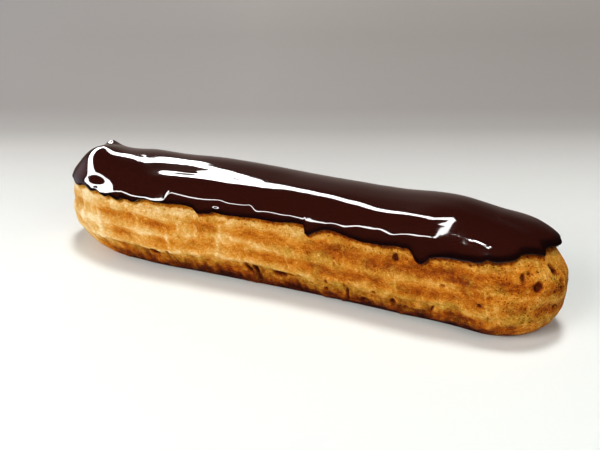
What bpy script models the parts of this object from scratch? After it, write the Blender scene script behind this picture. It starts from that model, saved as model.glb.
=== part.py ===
"""Chocolate eclair: a piped choux pastry finger with a poured chocolate glaze over its top.

Metres, +Z up. The eclair lies along X with its front towards -Y, and its flat underside rests on Z = 0.
Each surface is a stack of rings. A ring goes once round the plan, and an angle of 0 at the crown, 90 degrees
at the widest line and more below it says how far down the side the ring lies.
"""

from collections import namedtuple
from math import pi, radians

import bmesh
import bpy
import numpy as np

MM = 0.001

# Choux pastry: overall size
LENGTH = 155.6 * MM
LEFT_END = 26.3 * MM          # reach of each rounded end past the end of the spine
RIGHT_END = 20.4 * MM
HALF_WIDTH = 15.3 * MM
LEFT_NARROWING = 0.6 * MM     # taken off the half width towards each end
RIGHT_NARROWING = 0.7 * MM
CROWN = 29.8 * MM             # height of the top line
WAIST = 15.2 * MM             # height of the widest line
LEFT_WAIST_DROP = 3.4 * MM    # how much lower the left end is widest
SINK = 2.6 * MM               # how far the rounded underside is flattened by its own weight

# Fullness of the cross-section: 2 is an ellipse, more is squarer
SIDE_FULLNESS = 2.5
LEFT_TOP_FULLNESS = 2.0
RIGHT_TOP_FULLNESS = 1.8
LEFT_BASE_FULLNESS = 2.45
RIGHT_BASE_FULLNESS = 2.7

# Swells along the spine: (position, rise, spread)
CROWN_SWELLS = [
    (-44 * MM, -1.1 * MM, 11 * MM),
    (-8 * MM, -0.2 * MM, 14 * MM),
    (43 * MM, 1.4 * MM, 11 * MM),
    (61 * MM, -1.5 * MM, 8 * MM),
]
FRONT_SWELLS = [
    (-42 * MM, 1.2 * MM, 10 * MM),
    (8 * MM, -2.2 * MM, 30 * MM),
    (46 * MM, -0.5 * MM, 8 * MM),
    (60 * MM, 1.2 * MM, 8 * MM),
]
REAR_SWELLS = [(-20 * MM, 0.7 * MM, 20 * MM)]

# Raised spots where the piping bag was lifted off: (x, y, z, rise, spread)
KNOBS = [
    (-63.5 * MM, 4 * MM, 28.5 * MM, 2.2 * MM, 3.4 * MM),
    (-69 * MM, 3 * MM, 24.5 * MM, 2.0 * MM, 6.5 * MM),
]

# Piped ridges below the glaze: (angle in degrees, depth below the crests)
RIDGE_PROFILE = [
    (68, 0.10 * MM),
    (74, 0.00 * MM),
    (79, 0.55 * MM),
    (84, 1.00 * MM),
    (88, 0.55 * MM),
    (91, 0.00 * MM),
    (95, 0.40 * MM),
    (100, 0.50 * MM),
    (104, 0.15 * MM),
    (107, 0.00 * MM),
    (110, 1.00 * MM),
    (115, 1.40 * MM),
    (121, 1.05 * MM),
    (129, 0.75 * MM),
    (138, 0.45 * MM),
]
RIDGE_WANDER = 2.0            # degrees the ridges stray up and down
RIGHT_RIDGE_FADE = 0.5        # share of their depth that the ridges lose round the right end

# Glaze
GLAZE_GAP = 0.3 * MM          # clearance between the glaze and the pastry below it
GLAZE_THICKNESS = 1.5 * MM
LIP_THICKNESS = 1.8 * MM      # the glaze piles up into a rounded lip along its edge
LIP_SHARE = 0.3               # share of the glaze, measured from its edge, that thickens into the lip
EDGE_HEIGHT = 23.8 * MM

# Waves and drips of the glaze's lower edge: (run round the plan, rise, spread)
EDGE_WAVES = [
    (-76 * MM, -2.8 * MM, 12 * MM),
    (-60 * MM, -0.6 * MM, 2 * MM),
    (-50 * MM, -0.9 * MM, 7 * MM),
    (-30 * MM, 0.3 * MM, 5 * MM),
    (-25.6 * MM, -1.1 * MM, 2 * MM),
    (-8 * MM, 0.3 * MM, 5 * MM),
    (4 * MM, 0.6 * MM, 3 * MM),
    (7.6 * MM, -1.8 * MM, 2 * MM),
    (13.5 * MM, 0.5 * MM, 3 * MM),
    (20.5 * MM, -0.5 * MM, 4 * MM),
    (40.3 * MM, -2.1 * MM, 2.4 * MM),
    (48.5 * MM, 0.5 * MM, 4 * MM),
    (54.5 * MM, -0.6 * MM, 2.5 * MM),
    (69 * MM, 1.6 * MM, 4 * MM),
    (80 * MM, 1.1 * MM, 4 * MM),
    (92 * MM, -0.8 * MM, 5 * MM),
    (112 * MM, -1.4 * MM, 3 * MM),
    (134 * MM, 0.7 * MM, 5 * MM),
    (150 * MM, -1.2 * MM, 2.5 * MM),
    (-142 * MM, -1.6 * MM, 3 * MM),
    (-118 * MM, 0.7 * MM, 5 * MM),
]

# Mesh density
SIDE_STATIONS = 59
END_STATIONS = 17
COVERED_ROWS = 3              # the crown of the pastry and the inside of the glaze, which lie face to face
TOP_ROWS = 6                  # the outside of the glaze
LIP_ROWS = 5

LEFT_SPINE = LEFT_END - LENGTH / 2
RIGHT_SPINE = LENGTH / 2 - RIGHT_END
END_RUN = 17.2 * MM * pi      # length of the way round one end
PERIMETER = 2 * (RIGHT_SPINE - LEFT_SPINE) + 2 * END_RUN

Plan = namedtuple("Plan", "spine out_x out_y run")


def clear_scene():
    """Removes every object of the scene the script is run in."""
    for old in list(bpy.data.objects):
        bpy.data.objects.remove(old, do_unlink=True)


def ease(t):
    """Smooth step from 0 to 1."""
    t = np.clip(t, 0, 1)
    return t * t * (3 - 2 * t)


def swells(position, table):
    """Sum of rounded rises along a line."""
    total = np.zeros_like(position)
    for at, rise, spread in table:
        total += rise * np.exp(-(((position - at) / spread) ** 2))
    return total


def plan_stations():
    """Stations once round the plan: the front, the right end, the rear, then the left end.

    Each has its place on the spine, its outward direction and its run, the distance round the plan
    from the middle of the front.
    """
    side = np.linspace(LEFT_SPINE, RIGHT_SPINE, SIDE_STATIONS)
    turn = np.linspace(-pi / 2, pi / 2, END_STATIONS + 2)[1:-1]
    straight = np.zeros_like(side)
    spine = np.concatenate([
        side,
        np.full_like(turn, RIGHT_SPINE),
        side[::-1],
        np.full_like(turn, LEFT_SPINE),
    ])
    out_x = np.concatenate([straight, np.cos(turn), straight, -np.cos(turn)])
    out_y = np.concatenate([straight - 1, np.sin(turn), straight + 1, -np.sin(turn)])
    rear_start = RIGHT_SPINE + END_RUN
    run = np.concatenate([
        side,
        RIGHT_SPINE + END_RUN * (turn / pi + 0.5),
        rear_start + RIGHT_SPINE - side[::-1] - PERIMETER,
        LEFT_SPINE - END_RUN * (0.5 - turn / pi),
    ])
    return Plan(spine, out_x, out_y, run)


def round_trip(run, at):
    """Signed distance round the plan from one place to another, the short way."""
    return (run - at + PERIMETER / 2) % PERIMETER - PERIMETER / 2


def crown_height(plan):
    return CROWN + swells(plan.spine, CROWN_SWELLS)


def half_width(plan):
    """Half the width at each station, with the swells of its own side."""
    width = (
        HALF_WIDTH
        - LEFT_NARROWING * ease((-plan.spine - 5 * MM) / (45 * MM))
        - RIGHT_NARROWING * ease((plan.spine - 5 * MM) / (50 * MM))
    )
    sides = np.where(plan.out_y < 0, swells(plan.spine, FRONT_SWELLS), swells(plan.spine, REAR_SWELLS))
    return width + sides * np.abs(plan.out_y)


def fullness(plan, left, right):
    """Fullness of the cross-section, running from that of the sides to that of each end."""
    end = np.where(plan.out_x < 0, left, right)
    return SIDE_FULLNESS + (end - SIDE_FULLNESS) * plan.out_x**2


def top_fullness(plan):
    return fullness(plan, LEFT_TOP_FULLNESS, RIGHT_TOP_FULLNESS)


def base_fullness(plan):
    return fullness(plan, LEFT_BASE_FULLNESS, RIGHT_BASE_FULLNESS)


def knob_rise(points):
    """How far the raised spots lift the surface at each point."""
    rise = np.zeros(len(points))
    for x, y, z, height, spread in KNOBS:
        distance = np.linalg.norm(points - [x, y, z], axis=1)
        rise += height * np.exp(-((distance / spread) ** 2))
    return rise


def waist_height(plan):
    return WAIST - LEFT_WAIST_DROP * np.where(plan.out_x < 0, plan.out_x**2, 0)


def body_points(plan, angle, lift):
    """Rounded body without its knobs: superellipse cross-sections along the spine, lifted outwards."""
    upper = angle < pi / 2
    power = 2 / np.where(upper, top_fullness(plan), base_fullness(plan))
    across = np.abs(np.sin(angle)) ** power
    up = np.abs(np.cos(angle)) ** power
    reach = np.where(plan.out_x < 0, LEFT_END, RIGHT_END)
    waist = waist_height(plan)
    above = (crown_height(plan) + lift - waist) * up
    below = (waist + SINK + lift) * up
    return np.column_stack([
        plan.spine + plan.out_x * (reach + lift) * across,
        plan.out_y * (half_width(plan) + lift) * across,
        np.maximum(waist + np.where(upper, above, -below), 0),
    ])


def ring_points(plan, angle, lift):
    """One ring of the surface at the given angle, lifted off the crests by the given distance."""
    plain = body_points(plan, angle, lift)
    return body_points(plan, angle, lift + knob_rise(plain))


def edge_angle(plan):
    """Angle at which the glaze ends, from the height of its wavy edge."""
    height = np.full_like(plan.run, EDGE_HEIGHT)
    for at, rise, spread in EDGE_WAVES:
        height += rise * np.exp(-((round_trip(plan.run, at) / spread) ** 2))
    waist = waist_height(plan)
    up = (height - waist) / (crown_height(plan) - waist)
    return np.arccos(up ** (top_fullness(plan) / 2))


def base_angle(plan):
    """Angle at which the underside meets the flat base."""
    waist = waist_height(plan)
    up = waist / (waist + SINK)
    return pi - np.arccos(up ** (base_fullness(plan) / 2))


def ridge_rings(plan):
    """Rings that follow the piped ridges and grooves from the glaze down to the base."""
    wave = np.sin(plan.run / (11 * MM)) + 0.6 * np.sin(plan.run / (6.3 * MM) + 1.3)
    strength = 0.85 + 0.25 * np.sin(plan.run / (8.5 * MM) + 2)
    right_end = ease((plan.run - 50 * MM) / (20 * MM)) * ease((120 * MM - plan.run) / (20 * MM))
    strength *= 1 - RIGHT_RIDGE_FADE * right_end
    start = edge_angle(plan)
    rings = []
    for degrees, depth in RIDGE_PROFILE:
        fade = ease((degrees - 60) / 15) * ease((145 - degrees) / 20)
        angle = radians(degrees) + radians(RIDGE_WANDER) * wave * fade
        angle = np.maximum(angle, start + radians(0.3 * (degrees - 60)))
        rings.append(ring_points(plan, angle, -depth * strength))
    return rings


def pastry_rings(plan):
    edge = edge_angle(plan)
    covered = [ring_points(plan, edge * row / COVERED_ROWS, 0) for row in range(COVERED_ROWS + 1)]
    base = ring_points(plan, base_angle(plan), 0)
    base[:, 2] = 0
    return covered + ridge_rings(plan) + [base]


def glaze_rings(plan):
    """Rings over the outside of the glaze, round its lip and back along its inside."""
    edge = edge_angle(plan)
    rings = []
    for row in range(TOP_ROWS):
        share = row / TOP_ROWS
        swelling = (LIP_THICKNESS - GLAZE_THICKNESS) * ease((share - 1 + LIP_SHARE) / LIP_SHARE)
        rings.append(ring_points(plan, edge * share, GLAZE_GAP + GLAZE_THICKNESS + swelling))
    radius = LIP_THICKNESS / 2
    for roll in np.linspace(0, pi, LIP_ROWS):
        angle = edge + radius / HALF_WIDTH * np.sin(roll)
        rings.append(ring_points(plan, angle, GLAZE_GAP + radius * (1 + np.cos(roll))))
    for row in reversed(range(COVERED_ROWS)):
        rings.append(ring_points(plan, edge * row / COVERED_ROWS, GLAZE_GAP))
    return rings


def skin(rings):
    """Mesh over a stack of rings. The two sides of a ring that lies on the spine are welded together."""
    bm = bmesh.new()
    stack = [[bm.verts.new(point) for point in ring] for ring in rings]
    for upper, lower in zip(stack, stack[1:]):
        for i in range(len(upper)):
            bm.faces.new((upper[i - 1], lower[i - 1], lower[i], upper[i]))
    bmesh.ops.remove_doubles(bm, verts=bm.verts, dist=0.001 * MM)
    return bm


def close_base(bm):
    """Flat face across the open lower ring."""
    rim = [edge for edge in bm.edges if edge.is_boundary]
    bmesh.ops.contextual_create(bm, geom=rim)


def pastry_mesh(plan):
    bm = skin(pastry_rings(plan))
    close_base(bm)
    return bm


def glaze_mesh(plan):
    return skin(glaze_rings(plan))


def material(name, colour, roughness):
    """Principled material of one colour."""
    made = bpy.data.materials.new(name)
    made.use_nodes = True
    shader = made.node_tree.nodes["Principled BSDF"]
    shader.inputs["Base Color"].default_value = (*colour, 1)
    shader.inputs["Roughness"].default_value = roughness
    shader.inputs["Metallic"].default_value = 0
    made.diffuse_color = (*colour, 1)
    return made


def add_object(name, bm, surface):
    """Turns a finished bmesh into a smooth-shaded object of its own."""
    bmesh.ops.recalc_face_normals(bm, faces=bm.faces)
    mesh = bpy.data.meshes.new(name)
    bm.to_mesh(mesh)
    bm.free()
    mesh.shade_smooth()
    mesh.set_sharp_from_angle(angle=radians(50))
    mesh.materials.append(surface)
    made = bpy.data.objects.new(name, mesh)
    bpy.context.collection.objects.link(made)
    return made


def centre_on_origin(objects):
    """Moves the meshes together so that the middle of their common box lies above the origin."""
    corners = np.array([vertex.co[:2] for made in objects for vertex in made.data.vertices])
    middle = (corners.min(axis=0) + corners.max(axis=0)) / 2
    for made in objects:
        for vertex in made.data.vertices:
            vertex.co.x -= middle[0]
            vertex.co.y -= middle[1]


def main():
    clear_scene()
    plan = plan_stations()
    choux = material("baked_choux", (0.62, 0.31, 0.09), 0.65)
    chocolate = material("chocolate_glaze", (0.035, 0.010, 0.006), 0.12)
    pastry = add_object("choux_pastry", pastry_mesh(plan), choux)
    glaze = add_object("chocolate_glaze", glaze_mesh(plan), chocolate)
    centre_on_origin([pastry, glaze])


main()
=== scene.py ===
from math import cos, pi, radians, sin

import bmesh
import bpy
import numpy as np
from mathutils import Matrix, Vector


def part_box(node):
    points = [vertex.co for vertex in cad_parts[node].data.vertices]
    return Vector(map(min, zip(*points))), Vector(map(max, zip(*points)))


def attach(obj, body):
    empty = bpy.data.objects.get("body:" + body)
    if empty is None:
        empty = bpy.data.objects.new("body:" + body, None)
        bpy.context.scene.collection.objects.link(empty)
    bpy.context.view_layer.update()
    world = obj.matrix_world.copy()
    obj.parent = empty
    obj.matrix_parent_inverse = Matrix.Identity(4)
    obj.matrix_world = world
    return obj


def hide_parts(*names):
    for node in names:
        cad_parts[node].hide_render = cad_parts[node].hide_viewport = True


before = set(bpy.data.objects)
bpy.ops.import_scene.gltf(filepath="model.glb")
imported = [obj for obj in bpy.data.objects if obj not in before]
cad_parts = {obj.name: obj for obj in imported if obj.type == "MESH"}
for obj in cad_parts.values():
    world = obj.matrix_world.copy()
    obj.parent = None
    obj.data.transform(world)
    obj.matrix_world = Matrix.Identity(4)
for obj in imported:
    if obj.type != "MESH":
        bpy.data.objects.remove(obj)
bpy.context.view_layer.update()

mm = 0.001
weldDistance = 0.002 * mm

# Chocolate eclair in metres, along X, front towards -Y, resting on Z = 0.
# Surfaces are grids. A column is a place round the plan, and its run the distance from the middle of
# the front, positive to the right. A row is an angle: 0 at the crown, 90 degrees at the widest line.

# Finger of pastry that the crust and the glaze follow. Single lengths in metres, tables in mm.
body = {
    "leftEnd": 26.8 * mm,  # reach of the rounded ends past the spine
    "rightEnd": 20.4 * mm,
    "leftPast": 0.5 * mm,  # how far the left end reaches past the solid's
    "endRadius": 17.2 * mm,  # of a half circle as long as the way round one end
    "spineY": -0.43 * mm,  # the spine is a little in front of the middle
    "halfWidth": 15.3 * mm,
    "narrowing": (0.6 * mm, 0.7 * mm),  # taken off that towards the left and right end
    "narrowFrom": 5 * mm,  # from the middle
    "narrowOver": (45 * mm, 50 * mm),  # and over what length it grows
    "crown": 29.8 * mm,  # height of the top line
    "waist": 15.2 * mm,  # height of the widest line
    "leftWaistDrop": 3.4 * mm,
    "sink": 2.6 * mm,  # how far its weight flattens the underside
    "sideFullness": 2.5,  # 2 is an ellipse, more is squarer
    "topFullness": (2.5, 1.8),  # at the left and right end
    "baseFullness": (2.45, 2.7),
    # x, rise, spread; then the drop of the top line towards the right end: from x, to x, fall
    "crownSwells": [(-60, -1.2, 6), (-44, -1, 10), (-8, -0.2, 14), (43, 1.4, 11)],
    "droop": (45 * mm, 64 * mm, 1.5 * mm),
    # place on the spine, rise, spread
    "frontSwells": [(-42, 1.2, 10), (8, -2.2, 30)],
    "lowSwells": [(46, -0.5, 8), (60, 1.2, 8)],  # only below the glaze
    "rearSwells": [(-20, 0.7, 20)],
    # radians: where the front and low swells grow, and over what angle; the share above that
    "frontFade": (0.6, 0.7), "lowFade": (0.95, 0.5), "frontKept": 0.5,
    # x, y, z, rise, spread: where the piping bag was lifted off
    "knobs": [(-67, 6.6, 29.6, 2.2, 2.4), (-64, -2, 28.5, 2, 8)],
    "edgeHeight": 23.8 * mm,  # of the line where the glaze ends
    "edgeReach": 0.9,  # share of an end's reach where that line lies
    # run, rise, spread: its waves and drips
    "edgeWaves": [
        (-76, -2.8, 12), (-60, -0.6, 2), (-50, -0.9, 7), (-30, 0.3, 5), (-25.6, -1.1, 2), (-8, 0.3, 5),
        (4, 0.6, 3), (7.6, -1.8, 2), (13.5, 0.5, 3), (20.5, -0.5, 4), (40.3, -2.1, 2.4), (48.5, 0.5, 4),
        (54.5, -0.6, 2.5), (69, 1.6, 4), (80, 1.1, 4), (92, -0.8, 5), (112, -1.4, 3), (134, 0.7, 5),
        (150, -1.2, 2.5), (-142, -1.6, 3), (-118, 0.7, 5),
    ],
    # run, height: the same line as poured along the front, tooth by tooth
    "frontEdge": [
        (-68, 21.3), (-66.5, 21.6), (-65, 21.9), (-63.5, 22.5), (-62, 22.9), (-60.8, 22.5), (-59.6, 22.2),
        (-58.4, 22.8), (-57, 22.6), (-55.3, 22.2), (-54.2, 22.8), (-53, 22.3), (-52.2, 22), (-51.3, 22.9),
        (-49, 22.7), (-47.4, 22.5), (-46.4, 22.6), (-45.2, 23.4), (-43, 23.6), (-40, 23.4), (-37, 23.5),
        (-33, 23.8), (-30, 23.9), (-27.6, 23.6), (-26.2, 22.5), (-25, 22.5), (-23.8, 22.8), (-22.4, 22.9),
        (-21.3, 23.5), (-18, 23.2), (-15, 23.3), (-12, 23.4), (-8, 23.7), (-5, 23.6), (-2, 23.6), (1, 23.9),
        (3, 24.2), (5, 24.2), (6.4, 24.1), (6.9, 22.1), (7.6, 21.8), (8.6, 22.2), (10, 23), (11.5, 23.6),
        (13.5, 24.1), (15.5, 24), (18, 23.6), (21, 23.2), (24, 22.8), (26, 23), (29, 23.1), (31, 23.3),
        (33, 23.6), (35, 23.5), (36.8, 23.7), (37.8, 22.9), (38.6, 21.6), (39.6, 20.7), (40.8, 20.6),
        (41.8, 21.4), (42.6, 22.4), (44, 22.9), (46, 23.1), (49, 23.3), (51, 23.2), (53, 23.4),
        (54.5, 23.2), (56.2, 23.5), (57.5, 24.1), (59, 23.9), (61, 24), (63, 24.3), (65, 24.6),
        (66.8, 25.2), (68, 25.4), (70, 25.3), (72.5, 25), (74.5, 24.5), (75.5, 24.2), (77, 24.7),
        (79, 24.9), (82, 24.7), (85, 24.1), (88, 23.4),
    ],
    "frontDrop": 0.15 * mm,  # taken off those heights
    "frontBlend": 3 * mm,  # way over which they take over from the waves
    # rise in mm, cell in mm, how much of the way down counts, seed
    "edgeNoise": [(0.3, 3.1, 0, 5)],
    "frontNoise": [(0.12, 1.3, 0, 13)],
}

lowCorner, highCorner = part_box("choux_pastry")
leftSpine = lowCorner.x + body["leftEnd"] - body["leftPast"]
rightSpine = highCorner.x - body["rightEnd"]
endRun = body["endRadius"] * pi  # way round one end
perimeter = 2 * (rightSpine - leftSpine) + 2 * endRun


def ease(t):
    # smooth step: 3 t^2 - 2 t^3 between 0 and 1
    t = np.clip(t, 0, 1)
    return t * t * (3 - 2 * t)


def bell(t):
    # exp(-t^2)
    return np.exp(-np.square(t))


def band(x, start, end, rise, fall):
    # 1 between start and end, easing in over the rise and out over the fall
    return ease((x - start) / rise) * ease((end - x) / fall)


def stretch(run, limits):
    # a band along the way round, its four limits in mm
    return band(run, *(limit * mm for limit in limits))


def swells(place, table):
    # sum of rise * exp(-((place - at) / spread)^2), the table in mm
    return sum(rise * mm * bell((place / mm - at) / spread) for at, rise, spread in table)


def roundTrip(run, at):
    # signed distance round the plan, the short way
    return (run - at + perimeter / 2) % perimeter - perimeter / 2


def waves(run, table):
    # as swells, but measured round the plan
    return sum(rise * mm * bell(roundTrip(run, at * mm) / (spread * mm)) for at, rise, spread in table)


def cloud(u, v, cell, seed):
    # smooth random heights of about -1 to 1: gradient noise on square cells, once round the plan
    cellsDown, gain = 97, 1.5
    count = max(int(round(perimeter / cell)), 1)
    slope = np.random.default_rng(seed).random((count, cellsDown)) * 2 * pi
    u, v = u / perimeter * count, v / cell
    i, j = np.floor(u).astype(int), np.floor(v).astype(int)
    du, dv = u - i, v - j

    def corner(a, b):
        turn = slope[(i + a) % count, (j + b) % cellsDown]
        return np.cos(turn) * (du - a) + np.sin(turn) * (dv - b)

    su, sv = ease(du), ease(dv)
    near = corner(0, 0) * (1 - su) + corner(1, 0) * su
    far = corner(0, 1) * (1 - su) + corner(1, 1) * su
    return gain * (near * (1 - sv) + far * sv)


def clouds(u, v, layers):
    # sum of amount * cloud over the layers: amount, cell in mm, how much of v counts, seed
    return sum(amount * cloud(u, v * share, cell * mm, seed) for amount, cell, share, seed in layers)


def planOf(sideCount, endCount):
    # places round the plan, in pairs on front and rear: run, place on the spine and outward direction
    side = np.linspace(leftSpine, rightSpine, sideCount)
    turn = np.linspace(0, endRun, endCount + 2)[1:-1]
    rear = rightSpine + endRun + rightSpine - side
    run = np.concatenate([side, rightSpine + turn, rear, leftSpine - turn])
    run = np.sort((run + perimeter / 2) % perimeter - perimeter / 2)
    corners = [-perimeter / 2, leftSpine - endRun, leftSpine, rightSpine, rightSpine + endRun, perimeter / 2]
    middle = leftSpine + rightSpine
    spine = np.interp(run, corners, [middle, leftSpine, leftSpine, rightSpine, rightSpine, middle])
    heading = np.interp(run, corners, np.radians([-270, -270, -90, -90, 90, 90]))
    return {"run": run, "spine": spine, "outX": np.cos(heading), "outY": np.sin(heading)}


def fullnessOf(plan, ends):
    # side value, running to that of the end with the square of outX
    end = np.where(plan["outX"] < 0, *ends)
    return body["sideFullness"] + (end - body["sideFullness"]) * plan["outX"] ** 2


def reachOf(plan):
    # how far the end on a point's own side reaches past the spine
    return np.where(plan["outX"] < 0, body["leftEnd"], body["rightEnd"])


def crownOf(x):
    # height of the top line: plus its swells, less the droop towards the right end
    start, end, fall = body["droop"]
    return body["crown"] + swells(x, body["crownSwells"]) - fall * ease((x - start) / (end - start))


def waistOf(plan):
    # height of the widest line, lower round the left end with the square of outX
    return body["waist"] - body["leftWaistDrop"] * np.where(plan["outX"] < 0, plan["outX"] ** 2, 0)


def widthOf(plan, angle):
    # half width, less the narrowing, plus the swells of its own side, which fade out under the glaze
    spine, start = plan["spine"], body["narrowFrom"]
    (left, right), (leftOver, rightOver) = body["narrowing"], body["narrowOver"]
    width = (body["halfWidth"] - left * ease((-spine - start) / leftOver)
             - right * ease((spine - start) / rightOver))
    upper, lower, rear = (swells(spine, body[key]) for key in ("frontSwells", "lowSwells", "rearSwells"))
    kept = body["frontKept"]
    frontGrowth, lowGrowth = (ease((angle - at) / over) for at, over in (body["frontFade"], body["lowFade"]))
    front = upper * (kept + (1 - kept) * frontGrowth) + lower * lowGrowth
    return width + np.where(plan["outY"] < 0, front, rear) * np.abs(plan["outY"])


def plainPoints(plan, angle, lift):
    # superellipse section: across = |sin|^(2/n), up = |cos|^(2/n), scaled by reach, width and height
    upper = angle < pi / 2
    top, base = (fullnessOf(plan, body[key]) for key in ("topFullness", "baseFullness"))
    power = 2 / np.where(upper, top, base)
    across = np.abs(np.sin(angle)) ** power
    up = np.abs(np.cos(angle)) ** power
    waist = waistOf(plan)
    x = plan["spine"] + plan["outX"] * (reachOf(plan) + lift) * across
    above = (crownOf(x) + lift - waist) * up
    below = (waist + body["sink"] + lift) * up
    return np.stack([
        x,
        body["spineY"] + plan["outY"] * (widthOf(plan, angle) + lift) * across,
        np.maximum(waist + np.where(upper, above, -below), 0),
    ], axis=-1)


def bodyPoints(plan, angle, lift):
    # the plain section, lifted again where a knob rises: rise * exp(-(distance / spread)^2)
    plain = plainPoints(plan, angle, lift)
    for x, y, z, rise, spread in body["knobs"]:
        away = np.linalg.norm(plain - np.array([x * mm, y * mm + body["spineY"], z * mm]), axis=-1)
        lift = lift + rise * mm * bell(away / (spread * mm))
    return plainPoints(plan, angle, lift)


def edgeOf(plan):
    # angle where the glaze ends: arccos(up^(n/2)), up its height over the waist as a share of the crown's
    run = plan["run"]
    height = body["edgeHeight"] + waves(run, body["edgeWaves"]) + mm * clouds(run, 0 * run, body["edgeNoise"])
    at, known = np.array(body["frontEdge"]).T * mm
    front = band(run, at[0], at[-1], body["frontBlend"], body["frontBlend"])
    fine = np.interp(run, at, known) - body["frontDrop"] + mm * clouds(run, 0 * run, body["frontNoise"])
    height = height + (fine - height) * front
    x = plan["spine"] + body["edgeReach"] * plan["outX"] * reachOf(plan)
    up = (height - waistOf(plan)) / (crownOf(x) - waistOf(plan))
    return np.arccos(up ** (fullnessOf(plan, body["topFullness"]) / 2))


def baseOf(plan):
    # angle at which the underside meets the floor
    up = waistOf(plan) / (waistOf(plan) + body["sink"])
    return pi - np.arccos(up ** (fullnessOf(plan, body["baseFullness"]) / 2))


def outward(points):
    # unit normals of a grid whose columns run anticlockwise and whose rows go down
    along = np.roll(points, -1, axis=1) - np.roll(points, 1, axis=1)
    normal = np.cross(np.gradient(points, axis=0), along)
    return normal / np.maximum(np.linalg.norm(normal, axis=-1, keepdims=True), 1e-12)


def arcOf(points):
    # distance down each column from its first row
    step = np.linalg.norm(np.diff(points, axis=0), axis=-1)
    return np.concatenate([np.zeros((1, points.shape[1])), np.cumsum(step, axis=0)])


def addPiece(name, points, values, finish):
    # mesh over a grid, its columns joined round the plan, its double vertices welded, its values attributes
    rows, columns = points.shape[:2]
    index = np.arange(rows * columns).reshape(rows, columns)
    beside = np.roll(index, -1, axis=1)
    faces = np.stack([index[:-1], index[1:], beside[1:], beside[:-1]], axis=-1).reshape(-1, 4)
    mesh = bpy.data.meshes.new(name)
    mesh.from_pydata(points.reshape(-1, 3).tolist(), [], faces.tolist())
    for label, value in values.items():
        layer = mesh.attributes.new(label, "FLOAT", "POINT")
        layer.data.foreach_set("value", value.astype(np.float32).ravel())
    bm = bmesh.new()
    bm.from_mesh(mesh)
    bmesh.ops.remove_doubles(bm, verts=bm.verts, dist=weldDistance)
    bm.to_mesh(mesh)
    bm.free()
    mesh.shade_smooth()
    mesh.materials.append(finish)
    piece = bpy.data.objects.new(name, mesh)
    bpy.context.collection.objects.link(piece)
    return piece


def linear(code):
    # sRGB hex to linear: ((c + 0.055) / 1.055)^2.4, or c / 12.92 near black
    c = np.array([int(code[k:k + 2], 16) for k in (1, 3, 5)]) / 255
    return (*np.where(c > 0.04045, ((c + 0.055) / 1.055) ** 2.4, c / 12.92), 1.0)


def addNode(tree, kind, inputs=None, stops=(), **settings):
    # one node: its options, a ramp's stops, and for its inputs values, outputs or nodes, a node by its
    # first output. A Mix node's colours go in at 6 and 7 and come out at 2.
    node = tree.nodes.new("ShaderNode" + kind)
    for option, value in settings.items():
        setattr(node, option, value)
    for socket, value in (inputs or {}).items():
        if isinstance(value, bpy.types.Node):
            value = value.outputs[0]
        if isinstance(value, bpy.types.NodeSocket):
            tree.links.new(value, node.inputs[socket])
        else:
            node.inputs[socket].default_value = value
    for i, (position, code) in enumerate(stops):
        stop = node.color_ramp.elements[i] if i < 2 else node.color_ramp.elements.new(position)
        stop.position, stop.color = position, linear(code)
    return node


def newFinish(name, values):
    # a material with its node tree and its shader, set to the values
    finish = bpy.data.materials.new(name)
    finish.use_nodes = True
    shader = finish.node_tree.nodes["Principled BSDF"]
    for socket, value in values.items():
        shader.inputs[socket].default_value = value
    return finish, finish.node_tree, shader


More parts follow.
